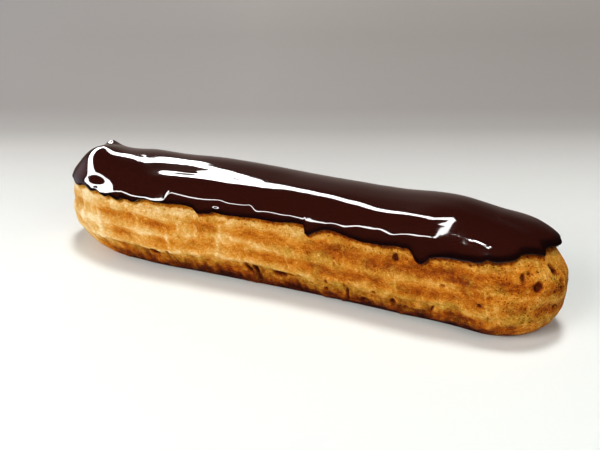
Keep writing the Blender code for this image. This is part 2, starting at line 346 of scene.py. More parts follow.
# Crust of the pastry. Angles in degrees, lengths in mm unless a line says otherwise.
crust = {
    "sideCount": 340, "endCount": 165, "coveredRows": 6, "openRows": 81, "underRows": 5,
    "wander": 2.0,  # degrees that the piped ridges stray up and down
    "wanderBand": (60, 145, 15, 20),  # and where they do
    "wanderWaves": [(11, 1.0, 0.0), (6.3, 0.6, 1.3)],  # length / 2 pi, share, phase
    "strength": (0.85, 0.25, 8.5, 2),  # of their relief: middle, swing, length / 2 pi, phase
    "rounding": 1.2,
    # angle, depth below the crests, bake (0 pale to 1 burnt; darker grooves and the darkest rows near the
    # floor partly painted shade), warmth (0 dry tan to 1 moist orange)
    "ridges": [
        (50, 0.1, 0.26, 0.35), (62, 0.1, 0.27, 0.35), (69, 0, 0.25, 0.35), (74, 0.1, 0.34, 0.6),
        (79, 0.4, 0.41, 0.8), (84, 0.7, 0.44, 0.9), (88, 0.4, 0.4, 0.7), (90.7, 0, 0.27, 0.4),
        (93, 0.2, 0.37, 0.8), (98, 0.4, 0.43, 0.9), (103, 0.15, 0.35, 0.7), (107, 0, 0.31, 0.3),
        (109, 0.4, 0.44, 0.1), (112, 1, 0.5, 0), (118, 1.1, 0.58, 0.2), (125, 0.7, 0.68, 0.5),
        (133, 0.35, 0.84, 0.8), (140, 0.1, 0.92, 0.8), (180, 0, 0.95, 0.6),
    ],
    # stretches of the way round: from, to, ease in, ease out
    "zones": {
        "leftEnd": (-112, -50, 16, 16), "rightEnd": (50, 120, 20, 20), "left": (-125, 2, 20, 20),
        "right": (2, 115, 8, 20), "upperRight": (0, 125, 10, 20),
    },
    # angle where something starts, and over how many degrees; ends where that is negative
    "fades": {
        "scallops": (98, 8), "right": (107, 4), "tray": (140, -8), "ends": (107, 6), "low": (107, 5),
        "left": (71, 5), "upperRight": (81, -6),
    },
    "rightward": (-12 * mm, 32 * mm),  # metres: where the bake grows, and over what length
    "endBake": 0.31, "endShares": (0.85, 0.75),  # even bake low on the ends, and how far each takes it
    "endWarmth": 0.3, "rightTone": -0.10,
    "flatter": (0.5, 0.5, 0.6),  # share of relief lost low on the right, at the right end, low on the ends
    # bake and warmth added; darker where streaks, pores and the stain sink in and paler on raised lumps,
    # partly painted shade and painted light
    "tones": {
        "leftEnd": (-0.12, -0.35), "rightEnd": (0.02, 0), "rightward": (0.1, 0), "left": (-0.07, 0),
        "upperRight": (0.07, 0.3), "low": (0, 0.35), "streaks": (0.14, 0), "stain": (0.27, 0.5),
        "lumps": (-0.5, 0), "pores": (0.17, 0.5),
    },
    "streakDepth": 0.20, "poreDepth": 0.22,
    "pitTones": [(0.38, 1.3), (1.0, 1.6)],  # darkening (bake and painted shade) and warmth of a pit, and how sharply each sets in
    "hollowTones": (0.42, 0.6),  # share of the table's bake and warmth
    "veinShares": (0.7, 0.4, 0.4),  # share of the table's bake, with painted shade, and warmth
    "stainAndShadeWidth": (4.2, 2.6),  # degrees of stain and painted contact shade below the glaze, and over how many it fades
    "cuff": (0.45 * mm, 4, 7),  # rise in metres along the glaze's edge, degrees above and below
    "settle": 3,  # degrees over which relief sets in and ends
    "trayTones": (1.0, 0.3),  # bake and warmth of the underside
    # strength, base, degrees below the glaze and over how many, share on the left, share at the right end
    "pinholes": (0.36, 0.12, 16, 12, 0.6, 0.8), "pinholesRight": (-10 * mm, 30 * mm),
    # noise: amount, cell, how much of the way down counts, seed
    "levelNoise": [(0.8, 4, 1, 6)],
    "scallopNoise": [(1.8, 7, 0, 7), (1.0, 2.5, 0, 8)],
    "hollowNoise": [(1.2, 2.2, 1, 9)],
    "veinNoise": [(0.5, 2.6, 1, 10), (0.3, 1.2, 1, 14)],
    "streakNoise": [(1.0, 2.4, 0.6, 31), (0.6, 1.1, 0.5, 32)],
    "stainAndShadeNoise": [(2.0, 1.6, 0, 33), (1.2, 0.8, 1, 35)],
    "lumpNoise": [(0.20, 7, 1, 1), (0.14, 3, 1, 2), (0.08, 1.4, 1, 3), (0.04, 0.8, 1, 4)],
    "pinholeNoise": [(0.40, 5, 1, 34)],
    # run, angle, half length, half height in degrees, rise in degrees per mm, depth, bake with painted shade
    # in the hollow, warmth
    "hollows": [
        (-84, 104, 5, 5, 0.2, 0.3, 0.2, 0.4), (-76, 99, 4, 4, 0.3, 0.2, 0.14, 0.3),
        (-66, 82, 3, 4.5, -0.4, 0.35, 0.22, 0.4), (-70.8, 78, 2, 3, 0, 0.25, 0.16, 0.4),
        (-62, 88, 2.2, 2.5, -0.5, 0.2, 0.12, 0.3), (-52.8, 84.6, 5, 5.6, -0.1, 0.55, 0.26, 0.4),
        (-40.2, 85.6, 6.8, 4.6, -0.6, 0.55, 0.28, 0.4), (-33, 76, 7, 4, 0, 0.15, 0.1, 0.3),
        (-23.8, 84, 3.5, 6.2, 0, 0.5, 0.24, 0.4), (-15.2, 82.5, 4.4, 6.5, 0, 0.35, 0.18, 0.3),
        (-53, 97, 3.5, 3, -0.3, 0.25, 0.14, 0.3), (-39.8, 97, 3, 3.6, -0.7, 0.35, 0.2, 0.4),
        (-28.5, 98.5, 7.2, 7, 0, 0.35, 0.16, 0.4), (-16.2, 97, 4.4, 6, 0, 0.3, 0.15, 0.4),
        (-6, 97, 6.5, 4.6, 0, 0.35, 0.22, 0.4), (-4, 79, 6, 6, 0.2, 0.2, 0.1, 0.3),
        (7, 94.5, 5.5, 3, -0.2, 0.2, 0.16, 0.3), (15, 79, 7.5, 6, 0.3, 0.35, 0.22, 0.3),
        (29.5, 83.5, 7, 4.6, 0.2, 0.5, 0.12, 0.3), (40.3, 84.5, 4.6, 4, 0, 0.45, 0.24, 0.3),
        (46.4, 80.5, 2.7, 3.2, 0.3, 0.55, 0.46, 0.5), (50.2, 85, 3.4, 2.4, 0.4, 0.3, 0.24, 0.3),
        (25.5, 96.5, 3.2, 2.8, 0, 0.3, 0.18, 0.2), (18, 99, 6, 4, 0.2, 0.25, 0.12, 0.2),
        (39, 101, 7, 4.6, 0.2, 0.25, 0.14, 0.2), (53, 101, 4.5, 5, 0, 0.2, 0.1, 0.1),
        (63, 82.5, 3.5, 3.4, -0.3, 0.25, 0.08, 0.2), (51, 87.5, 8, 4, 0, 0.15, 0.18, 0.4),
        (66, 104, 3, 6, 0, 0.4, 0.16, 0.1), (73, 101, 3, 7, 0, 0.3, 0.16, 0),
        (84, 86, 3, 12, 0, 0.3, 0.12, 0.1),
    ],
    # run, first and last angle, lean in mm per degree, half width, rise: pale skin pulled up across grooves
    "veins": [
        (-58, 76, 110, 0.02, 0.55, 0.45), (-36.7, 90, 109, 0.03, 0.5, 0.4), (-27.4, 79, 91, 0, 0.45, 0.35),
        (-20.9, 90, 109, -0.02, 0.45, 0.4), (-19.6, 74, 90, 0.02, 0.4, 0.3), (-51.2, 79, 90, 0, 0.25, 0.2),
        (-33.3, 79, 90, 0, 0.35, 0.25), (-47.2, 78, 92, 0.05, 0.55, 0.4), (-12, 91, 104, 0, 0.3, 0.2),
        (-63.5, 72, 100, -0.06, 0.6, 0.35), (-71, 84, 108, -0.08, 0.6, 0.3), (1, 90, 104, 0.05, 0.35, 0.2),
        (9.3, 91, 103, 0, 0.3, 0.18), (17.9, 74, 92, 0, 0.3, 0.2), (33.5, 90, 106, 0.03, 0.3, 0.2),
        (58.5, 84, 102, 0.08, 0.35, 0.25), (54.5, 70, 90, -0.1, 0.3, 0.2), (61.5, 92, 118, 0.1, 0.35, 0.25),
        (68.5, 92, 120, 0.02, 0.35, 0.25), (72.5, 64, 86, -0.04, 0.35, 0.25),
        (80.5, 60, 96, 0.02, 0.4, 0.3),
    ],
    # run, angle, half width, half height, lean in mm per mm, depth: burst bubbles and tears, dark inside with
    # browner crust and painted shade
    "pits": [
        (-42, 113.5, 2.1, 1.5, 0.2, 1), (-37.5, 110, 0.8, 0.9, 0, 0.6), (-54.6, 112, 0.9, 0.6, 0, 0.4),
        (-53, 116, 0.5, 0.8, 0, 0.4), (-24.5, 112, 1.4, 0.5, 0, 0.3), (-11.6, 114, 0.8, 2, 0.6, 0.8),
        (-9.2, 113.5, 0.9, 2, 0.3, 0.9), (-1.6, 114.5, 2.3, 1.6, 0, 0.9), (1.6, 112.5, 1, 0.9, 0, 0.5),
        (4.4, 110.5, 0.5, 0.9, 0, 0.4), (8.2, 117, 0.6, 0.6, 0, 0.4), (12.7, 110.5, 0.5, 1.2, 0, 0.6),
        (12.5, 121.5, 0.9, 0.8, 0, 0.5), (18.3, 111.5, 0.3, 1.1, 0, 0.4), (19.2, 122, 0.6, 2.8, 0, 0.6),
        (24.2, 124, 1.4, 1, 0, 0.5), (27.2, 110.3, 0.7, 0.8, 0, 0.6), (26.6, 115, 0.4, 0.7, 0, 0.3),
        (32.7, 117.5, 1, 1.5, 0, 0.8), (36.4, 122, 1, 0.8, 0, 0.4), (44, 115, 0.45, 1.7, -0.3, 0.7),
        (59.3, 109, 0.3, 1.2, 0, 0.4), (55.4, 109, 0.3, 0.5, 0, 0.3), (49.8, 117, 0.5, 0.8, 0, 0.3),
        (33, 74.5, 1, 1.7, 0.1, 1), (7.3, 88.2, 0.5, 0.35, 0, 0.4), (15.5, 90.4, 0.4, 0.3, 0, 0.4),
        (-5, 94.5, 0.6, 0.3, 0, 0.3), (46.5, 90.3, 0.75, 0.6, 0, 1), (56.9, 97, 0.85, 0.6, 0, 0.9),
        (49.9, 95.6, 0.35, 0.3, 0, 0.4), (70.5, 77, 1.5, 1.7, 0, 1.1), (66.4, 66, 0.7, 1.5, 0, 0.7),
        (68.2, 62, 0.6, 0.7, 0, 0.5), (70.9, 59.5, 0.45, 0.5, 0, 0.4), (77.2, 60, 1.5, 2, 0.3, 0.9),
        (78.4, 75, 0.5, 0.5, 0, 0.5), (77.4, 79.5, 0.4, 0.9, 0, 0.5), (75.6, 86, 0.5, 0.5, 0, 0.5),
        (78.6, 83, 0.5, 0.5, 0, 0.5), (76.5, 97, 0.8, 1, 0, 0.7), (89.8, 118, 0.6, 1.5, 0, 0.7),
        (96.5, 92, 1.2, 1.2, 0, 0.8), (93.3, 107, 0.4, 0.5, 0, 0.4), (-58, 82.5, 0.6, 0.7, 0, 0.5),
        (-20.6, 99, 0.6, 0.5, 0, 0.3), (-45.2, 72.5, 0.9, 0.3, 0, 0.2),
    ],
    "rearRuns": (92, 238, 7.5),  # from, to, step of marks on the sides not listed
    "rearGrooves": (84, 98),
    # run from, run to, angle from, angle to, number: fine pores; then their least half width and its growth
    "pores": [
        (-62, 96, 60, 76, 330), (50, 110, 60, 108, 300), (-163, 163, 60, 108, 480), (0, 60, 84, 93, 70),
        (96, 163, 60, 78, 250), (-163, -80, 60, 78, 250), (-60, 90, 109, 128, 90),
    ],
    "poreSize": (0.12, 0.26),
    "markSpacing": 0.28,  # least distance between grid points
    "seed": 21,
}


def fade(angle, name):
    # eases from 0 to 1 from an angle on, over the degrees that the table gives
    start, over = crust["fades"][name]
    return ease((angle - start) / over)


def ridgesAt(degrees):
    # the ridge table, drawn finely and rounded with a bell: depth, bake with painted shade, and warmth
    step, reach = 0.25, 12
    fine = np.arange(40, 181, step)
    at, *columns = np.array(crust["ridges"]).T
    kernel = bell(np.arange(-reach, reach + 1) * step / crust["rounding"])
    kernel /= kernel.sum()
    drawn = [np.pad(np.interp(fine, at, column), reach, "edge") for column in columns]
    return [np.interp(degrees, fine, np.convolve(column, kernel, "valid")) for column in drawn]


def stamped(grid, marks):
    # marks on a grid: amount * (1 - t)^0.7 with t = (du / wide)^2 + (dv / tall)^2, the deepest one kept
    run, degrees, arc = grid["run"], grid["degrees"], grid["arc"]
    target = np.zeros_like(arc)
    for at, deg, wide, tall, lean, amount in marks:
        column = np.searchsorted(run, at * mm) % len(run)
        row = np.searchsorted(degrees[:, column], deg)
        if row >= len(degrees) - 1:
            continue
        reach = int(1.3 * max(wide + abs(lean) * tall, tall) / crust["markSpacing"]) + 2
        columns = np.arange(column - reach, column + reach + 1) % len(run)
        rows = np.arange(max(row - reach, 0), min(row + reach + 1, len(degrees)))
        window = np.ix_(rows, columns)
        down = (arc[window] - arc[row, column]) / mm
        beside = roundTrip(run[columns], at * mm) / mm - lean * down
        t = (beside / wide) ** 2 + (down / tall) ** 2
        target[window] = np.maximum(target[window], amount * np.clip(1 - t, 0, 1) ** 0.7)
    return target


def rearForms(rng):
    # hollows, veins and pits of the sides not in the tables, each with its table's numbers in order
    draw = rng.uniform
    hollows, veins, pits = [], [], []
    for at in np.arange(*crust["rearRuns"]):
        for angle in crust["rearGrooves"]:
            place = at + draw(-2.5, 2.5)
            hollows.append((place, angle + draw(-1.5, 1.5), draw(2.5, 6), draw(3, 6), draw(-0.4, 0.4),
                            draw(0.2, 0.55), draw(0.1, 0.3), draw(0.1, 0.4)))
            veins.append((place + draw(3, 5), angle - 7, angle + 8, draw(-0.06, 0.06), draw(0.25, 0.55),
                          draw(0.15, 0.4)))
        pits.append((at + draw(-3, 3), draw(109, 124), draw(0.4, 1.8), draw(0.5, 1.8), draw(-0.4, 0.4),
                     draw(0.4, 0.9)))
        pits.append((at + draw(-3, 3), draw(66, 104), draw(0.3, 0.8), draw(0.3, 1.0), 0, draw(0.3, 0.7)))
    return hollows, veins, pits


def finePores(rng):
    # pores of every stretch in the table, most of them small and towards its first angle
    least, growth = crust["poreSize"]
    pores = []
    for start, end, top, bottom, count in crust["pores"]:
        size = least + growth * rng.random(count) ** 2
        at = rng.uniform(start, end, count)
        angle = top + (bottom - top) * rng.random(count) ** 1.2
        tall = size * rng.uniform(0.7, 1.4, count)
        lean = rng.uniform(-0.3, 0.3, count)
        pores += zip(at, angle, size, tall, lean, rng.uniform(0.3, 1.0, count))
    return pores


def shortWay(mark):
    # the same mark with its run between minus and plus half the way round
    half = perimeter / mm / 2
    return ((mark[0] + half) % (2 * half) - half, *mark[1:])


def bakedChoux():
    # baked choux paste: a dry egg-rich skin, stretched and browned in the oven; it gives a matte golden
    #     # surface, pale on the crests and caramel in the grooves, partly painted light and shade, and near
    #     black where it met the tray
    finish, tree, shader = newFinish("baked_choux", {
        "Roughness": 0.6, "IOR": 1.42, "Specular IOR Level": 0.05})
    place = addNode(tree, "TexCoord").outputs["Object"]
    # the bake attribute carries browning and painted shade together
    bakeAndShade, warm, porous = (addNode(tree, "Attribute", attribute_name=name).outputs["Fac"]
                          for name in ("bakeAndShade", "warm", "porous"))

    # blotches of 1.4 mm, drawn out along the finger
    along = addNode(tree, "Mapping", {"Vector": place, "Scale": (0.62, 1.0, 1.0)})
    blotch = addNode(tree, "TexNoise", {
        "Vector": along, "Scale": 1 / (1.4 * mm), "Detail": 8.0, "Roughness": 0.9})
    amount = addNode(tree, "MapRange", {
        "Value": blotch, "From Min": 0.25, "From Max": 0.75, "To Min": -0.25, "To Max": 0.25})
    # stretch marks: pale threads where a noise of 2.6 mm crosses its middle, |noise - 0.5| under 0.022
    wave = addNode(tree, "TexNoise", {
        "Vector": place, "Scale": 1 / (2.6 * mm), "Detail": 3.0, "Roughness": 0.6, "Distortion": 1.6})
    offset = addNode(tree, "Math", {0: wave, 1: 0.5}, operation="SUBTRACT")
    crossing = addNode(tree, "Math", {0: offset}, operation="ABSOLUTE")
    thread = addNode(tree, "MapRange", {
        "Value": crossing, "From Min": 0.0, "From Max": 0.022, "To Min": -0.20, "To Max": 0.0})
    mottle = addNode(tree, "Math", {0: amount, 1: thread}, operation="ADD")
    # pinholes: dark middles of cells 0.95 mm apart, painted shade in the holes, wider than real ones so that
    # they show
    cell = addNode(tree, "TexVoronoi", {"Vector": place, "Scale": 1 / (0.95 * mm)})
    point = addNode(tree, "MapRange", {
        "Value": cell, "From Min": 0.12, "From Max": 0.27, "To Min": 1.0, "To Max": 0.0})
    dots = addNode(tree, "Math", {0: point, 1: porous}, operation="MULTIPLY")
    skin = addNode(tree, "Math", {0: mottle, 1: dots}, operation="ADD")
    total = addNode(tree, "Math", {0: bakeAndShade, 1: skin}, operation="ADD", use_clamp=True)
    # patches of 3.6 mm that are drier or moister
    patch = addNode(tree, "TexNoise", {
        "Vector": along, "Scale": 1 / (3.6 * mm), "Detail": 4.0, "Roughness": 0.65})
    shift = addNode(tree, "MapRange", {
        "Value": patch, "From Min": 0.3, "From Max": 0.7, "To Min": -0.6, "To Max": 0.6})
    moisture = addNode(tree, "Math", {0: warm, 1: shift}, operation="ADD", use_clamp=True)
    levels = (0.0, 1.0, 0.15, 0.3, 0.42, 0.52, 0.62, 0.75, 0.88)
    dry, moist = (addNode(tree, "ValToRGB", {"Fac": total}, zip(levels, codes.split())) for codes in (
        "#FBE7BC #2A0D03 #EFCB8B #DCA954 #C99736 #B07F22 #925E13 #6C390A #471C05",
        "#F5D39A #2A0902 #E8B162 #DA9230 #C87617 #AE590C #914108 #6A2905 #451403"))
    colour = addNode(tree, "Mix", {"Factor": moisture, 6: dry, 7: moist}, data_type="RGBA")
    tree.links.new(colour.outputs[2], shader.inputs["Base Color"])
    # grain of 0.7 mm, 0.4 mm high, coarser than real crumb so that it shows
    grain = addNode(tree, "TexNoise", {
        "Vector": place, "Scale": 1 / (0.7 * mm), "Detail": 3.0, "Roughness": 0.7})
    bump = addNode(tree, "Bump", {"Height": grain, "Distance": 0.4 * mm, "Strength": 0.9})
    tree.links.new(bump.outputs["Normal"], shader.inputs["Normal"])
    return finish


def ridgedSkin(grid, zones):
    # depth, bake with painted shade, and warmth of the straying ridges, with a scalloped step under the
    # lowest
    #     # and flatter, evenly baked ends, and level, the angle on ridges that don't stray
    run, arc, degrees = grid["run"], grid["arc"], grid["degrees"]
    waving = sum(share * np.sin(run / (length * mm) + phase) for length, share, phase in crust["wanderWaves"])
    stray = crust["wander"] * waving * band(degrees, *crust["wanderBand"])
    level = degrees - stray + clouds(run, arc, crust["levelNoise"])
    level = level + clouds(run, arc, crust["scallopNoise"]) * fade(degrees, "scallops")
    depth, bakeAndShade, warm = ridgesAt(level)
    middle, swing, length, phase = crust["strength"]
    onRight, onEnd, onEnds = crust["flatter"]
    strength = middle + swing * np.sin(run / (length * mm) + phase)
    depth = depth * strength * (1 - onEnd * zones["rightEnd"])
    right = zones["right"] * fade(level, "right")
    depth, bakeAndShade = depth * (1 - onRight * right), bakeAndShade + crust["rightTone"] * right * fade(level, "tray")
    leftShare, rightShare = crust["endShares"]
    ends = np.maximum(leftShare * zones["leftEnd"], rightShare * zones["rightEnd"]) * fade(level, "ends")
    bakeAndShade = bakeAndShade + (crust["endBake"] - bakeAndShade) * ends
    return depth * (1 - onEnds * ends), bakeAndShade, warm + crust["endWarmth"] * ends, level


def marked(grid, skin, hollows, veins):
    # hollows exp(-u^4 - v^4) deepen the skin and darken it with browning and painted shade, leaning veins
    # exp(-u^2) raise and pale it
    run, arc, degrees = grid["run"], grid["arc"], grid["degrees"]
    depth, bakeAndShade, warm = skin
    ragged, winding = (clouds(run, arc, crust[key]) for key in ("hollowNoise", "veinNoise"))
    darker, warmer = crust["hollowTones"]
    for at, deg, wide, tall, slope, deep, dark, glow in hollows:
        beside = roundTrip(run, at * mm) / mm
        t = (beside / wide) ** 4 + ((degrees - deg + slope * beside + ragged) / tall) ** 4
        shape = np.exp(-t)
        depth = depth + deep * shape
        bakeAndShade, warm = bakeAndShade + darker * dark * shape, warm + warmer * glow * shape
    raised, paler, cooler = crust["veinShares"]
    for at, top, bottom, lean, wide, rise in veins:
        beside = roundTrip(run, at * mm) / mm - lean * (degrees - (top + bottom) / 2) + winding
        shape = bell(beside / wide) * band(degrees, top - 2, bottom + 2, 4, 4)
        depth, bakeAndShade = depth - raised * rise * shape, bakeAndShade - paler * rise * shape
        warm = warm * (1 - cooler * shape)
    return depth, bakeAndShade, warm


def porousOf(grid, rightEnd):
    # share of the skin with pinholes: most under the glaze and at the right end, few elsewhere
    strength, least, below, over, onLeft, atEnd = crust["pinholes"]
    start, length = crust["pinholesRight"]
    rightward = onLeft + (1 - onLeft) * ease((grid["run"] - start) / length)
    under = ease((grid["edge"] + below - grid["degrees"]) / over) * rightward
    patchy = clouds(grid["run"], grid["arc"], crust["pinholeNoise"])
    return strength * np.clip(np.maximum(under, atEnd * rightEnd) + least + patchy, 0, 1)


def makeCrust():
    # the plain finger, moved along its normals by ridges, marks, pits and lumps, then closed by an
    # underside drawn in from its rim to the spine
    plan = planOf(crust["sideCount"], crust["endCount"])
    run, edge, base = plan["run"], edgeOf(plan), baseOf(plan)
    covered = edge * np.linspace(0, 1, crust["coveredRows"], endpoint=False)[:, None]
    bare = edge + (base - edge) * np.linspace(0, 1, crust["openRows"])[:, None]
    angle = np.concatenate([covered, bare])
    plain = bodyPoints(plan, angle, 0 * angle)
    arc, degrees, edge, base = arcOf(plain), np.degrees(angle), np.degrees(edge), np.degrees(base)
    grid = {"run": run, "arc": arc, "degrees": degrees, "edge": edge}
    rng = np.random.default_rng(crust["seed"])
    hollows, veins, pits = (crust[key] + [shortWay(mark) for mark in more]
                            for key, more in zip(("hollows", "veins", "pits"), rearForms(rng)))
    zones = {name: stretch(run, limits) for name, limits in crust["zones"].items()}
    *skin, level = ridgedSkin(grid, zones)
    depth, bakeAndShade, warm = marked(grid, skin, hollows, veins)

    hole, pore = stamped(grid, pits), stamped(grid, finePores(rng))
    lump = clouds(run, arc, crust["lumpNoise"])
    low = fade(level, "low")
    streaks = clouds(run, arc, crust["streakNoise"]) * low  # run down the side below the last ridge
    start, length = crust["rightward"]
    below, over = crust["stainAndShadeWidth"]
    masks = zones | {
        "rightward": ease((run - start) / length), "left": zones["left"] * (1 - low) * fade(degrees, "left"),
        "upperRight": zones["upperRight"] * fade(degrees, "upperRight"),
        # stain and painted contact shade in a band just below the glaze's edge
        "stain": ease((edge + below + clouds(run, arc, crust["stainAndShadeNoise"]) - degrees) / over),
        "low": low, "streaks": streaks, "lumps": lump, "pores": pore,
    }
    for name, (darker, warmer) in crust["tones"].items():
        bakeAndShade, warm = bakeAndShade + darker * masks[name], warm + warmer * masks[name]
    # pits darker inside: browner crust and painted shade
    dark, glow = (share * np.clip(hole * sharp, 0, 1) for share, sharp in crust["pitTones"])
    bakeAndShade, warm = np.clip(bakeAndShade + dark, 0, 1), np.clip(warm + glow, 0, 1)

    settle = crust["settle"]
    sunk = depth + crust["streakDepth"] * streaks + hole + crust["poreDepth"] * pore
    lift = (lump - sunk) * mm * ease((degrees - edge) / settle) * ease((base - degrees) / settle)
    rise, above, below = crust["cuff"]
    lift = lift + rise * band(degrees, edge - above, edge + below, above, below)
    points = plain + outward(plain) * lift[..., None]
    points[-1, :, 2] = 0

    rim = points[-1]
    middle = np.stack([plan["spine"], 0 * run + body["spineY"], 0 * run], axis=-1)
    inwards = np.linspace(0, 1, crust["underRows"] + 1)[1:, None, None]
    points = np.concatenate([points, rim + (middle - rim) * inwards])
    under = np.ones((crust["underRows"], len(run)))
    burnt, glow = crust["trayTones"]
    values = {"bakeAndShade": np.concatenate([bakeAndShade, burnt * under]), "warm": np.concatenate([warm, glow * under]),
              "porous": np.concatenate([porousOf(grid, zones["rightEnd"]), 0 * under])}
    return addPiece("baked_crust", points, values, bakedChoux())


# Glaze. Single lengths in metres, the tables in mm and degrees.
glaze = {
    "sideCount": 400, "endCount": 165, "topRows": 68, "lipRows": 8, "underRows": 5, "innerRows": 6,
    "gap": 0.3 * mm, "thickness": 1.5 * mm,
    "roundness": (0.15 * mm, 0.95 * mm),  # radius of its lower corner along the front and at the ends
    "crispFront": (-62, 49, 8, 6),  # stretch with the sharper corner
    "tuck": 0.15 * mm,  # how far its underside beds into the crust
    "tuckTurn": 0.6,  # share of the corner's width that the underside goes back
    # run, rise: a fuller shoulder; run, degrees: the angles it starts at and reaches
    "shoulder": [
        (-100, 0), (-86, 0.6), (-76, 1.5), (-62, 1.5), (-58, 1.1), (-54, 0.5), (-51, 0.2), (-47, 0.5),
        (-43, 1.35), (-40, 1.55), (-36, 1.62), (-32, 1.57), (-28, 1.2), (-22, 0.98), (-18, 0.7), (-10, 0.3),
        (-2, 0), (10, 0.02), (18, 0.25), (22, 0.55), (26, 0.95), (29, 0.9), (32, 1.1), (37, 1.4), (40, 1.2),
        (44, 0.6), (48, 0.3), (54, 0.1), (60, 0),
    ],
    "shoulderFrom": [
        (-96, 0), (-56, 0), (-48, 8), (-36, 8), (-28, 4), (-20, 0), (-8, 0), (0, 4), (50, 8),
    ],
    "shoulderTo": [
        (-96, 30), (-56, 29), (-48, 30), (-33, 31), (-26, 30), (-20, 27), (-8, 20), (10, 24), (24, 32),
        (54, 33),
    ],
    "shoulderRound": (1.15, 5),  # where it rounds over, as a share, and how sharply
    # x, fall: the crown leans to the rear, so the front side of the top line is lower
    "lean": [
        (-70, 0), (-60, -0.2), (-53, -0.2), (-50, 0.1), (-47, 0.36), (-44, 0.38), (-30, 0.4), (-20, 0.42),
        (-12, 0.42), (-7, 0.34), (-3, 0.14), (1, 0.02), (60, 0),
    ],
    "leanReach": (14, 20),  # degrees, on the front and on the rear
    # run, degrees: the line where it turns under above its edge, a bead with a step below it
    "turn": [
        (-76, 55), (-66, 58), (-60, 59), (-57, 59.5), (-54.2, 60), (-53, 57.5), (-51, 56.5), (-48, 58),
        (-46, 57.5), (-43, 56.5), (-41, 59), (-39, 59.5), (-37, 58.5), (-36.3, 56), (-36, 49), (-35, 47),
        (-33, 48.5), (-30, 50.3), (-27, 50.8), (-24, 50), (-21.5, 48), (-19.5, 46.5), (-17, 48.5),
        (-15, 48), (-12, 47), (-10.5, 45), (-9.7, 45.5), (-8.7, 52.5), (-7.8, 53.5), (-6, 51.5), (-4, 50.8),
        (-2, 51.5), (0, 52), (2, 51), (4, 52), (5.5, 52.5), (7, 54), (7.8, 55), (9, 54.5), (11, 53.8),
        (13, 53.5), (14, 51.5), (16, 51.5), (18, 54), (20, 52), (22, 49.5), (24, 50.5), (26, 51), (28, 49),
        (30, 52), (31.5, 53.5), (34, 51.5), (36, 50.5), (38.5, 51.5), (41, 50), (44, 50), (50, 55),
        (56, 53), (62, 48), (68, 40), (75, 43), (88, 40),
    ],
    "turnBand": (-76, 88, 6, 8),  # stretch where that table holds
    "turnAbove": 7,  # degrees between that line and the edge elsewhere
    "bead": [(26, 0.5), (31, 0.68), (42, 0.68), (46, 0.4), (50, 0.05), (95, 0.05), (110, 0.5)],
    "beadReach": [
        (-60, 6), (-38, 6), (-35, 5), (-10, 5), (0, 4.5), (18, 4.5), (21, 6.5), (29, 6.5), (32, 4.5),
        (46, 5),
    ],
    "step": (0.04, 6.0),  # fall below the bead, and over how many degrees
    # run, degrees, spread along, spread down, rise: small swellings and dents
    "dimples": [
        (-20.3, 57.5, 1.5, 2.6, 0.34), (-52, 19.5, 0.6, 1.4, 0.05), (-58, 54, 3, 9, -0.5),
        (92, 54, 16, 22, 1.5), (53.6, 38.5, 5.5, 10, 0.12), (-25.5, 5, 1, 1.2, -0.02),
        (-18, 11, 1.2, 1.2, -0.02), (-34, 15.5, 3, 2.4, -0.1),
    ],
    "leftThinning": (0.9, 25, 30),  # thinner towards its edge at the left end: fall, from, over
    "darkening": (7, 6),  # degrees above the edge where painted shade darkens the glaze, and over how many
    "ripples": [(0.05, 11, 1, 11), (0.015, 5, 1, 12)],  # amount, cell, how much of y counts, seed
}


def setChocolate():
    # couverture glaze, poured warm and set: smooth fat and cocoa skin, nearly black, sharp reflections
    finish, tree, shader = newFinish("set_chocolate", {"Roughness": 0.045, "IOR": 1.5})
    # darker towards the edge: painted shade where the bead faces down
    edgeShade = addNode(tree, "Attribute", attribute_name="edgeShade").outputs["Fac"]
    colour = addNode(tree, "ValToRGB", {"Fac": edgeShade}, [(0.0, "#2B0D08"), (1.0, "#120505")])
    tree.links.new(colour.outputs["Color"], shader.inputs["Base Color"])
    return finish


def knots(run, table, softness):
    # values between the knots of a table, averaged over some columns
    at, known = np.array(table).T
    reach = softness // 2
    width = 2 * reach + 1
    drawn = np.pad(np.interp(run / mm, at, known), reach, "wrap")
    return np.convolve(drawn, np.full(width, 1 / width), "valid")


def coatOf(plan, degrees, edge):
    # rise over the plain thickness, in mm: a shoulder t^2 / (1 + (t / round)^5) on the front, along the turn
    # line a bead 1 / sqrt(1 + t^2) and a step, and a lean t exp(-t^2 / 2) across the crown
    run = plan["run"]
    start, end = (knots(run, glaze[key], 24) for key in ("shoulderFrom", "shoulderTo"))
    t = np.clip((degrees - start) / (end - start), 0, 3)
    over, sharpness = glaze["shoulderRound"]
    rise = knots(run, glaze["shoulder"], 16) * t ** 2 / (1 + (t / over) ** sharpness)
    turn = np.degrees(edge) - glaze["turnAbove"]
    turn = turn + (knots(run, glaze["turn"], 4) - turn) * stretch(run, glaze["turnBand"])
    away = degrees - turn
    reach = knots(run, glaze["beadReach"], 6)
    fall, wide = glaze["step"]
    rise = rise + knots(run, glaze["bead"], 6) / np.sqrt(1 + (away / reach) ** 2) - fall * ease(away / wide)
    near, far = glaze["leanReach"]
    t = degrees / np.where(plan["outY"] < 0, near, far)
    rise = rise + knots(plan["spine"], glaze["lean"], 24) * plan["outY"] * degrees / near * np.exp(-t * t / 2)
    leftEnd = np.where(plan["outX"] < 0, plan["outX"] ** 2, 0)
    fall, start, over = glaze["leftThinning"]
    rise = rise - fall * leftEnd * ease((degrees - start) / over)
    for at, deg, along, down, amount in glaze["dimples"]:
        rise = rise + amount * bell(roundTrip(run, at * mm) / (along * mm)) * bell((degrees - deg) / down)
    return rise


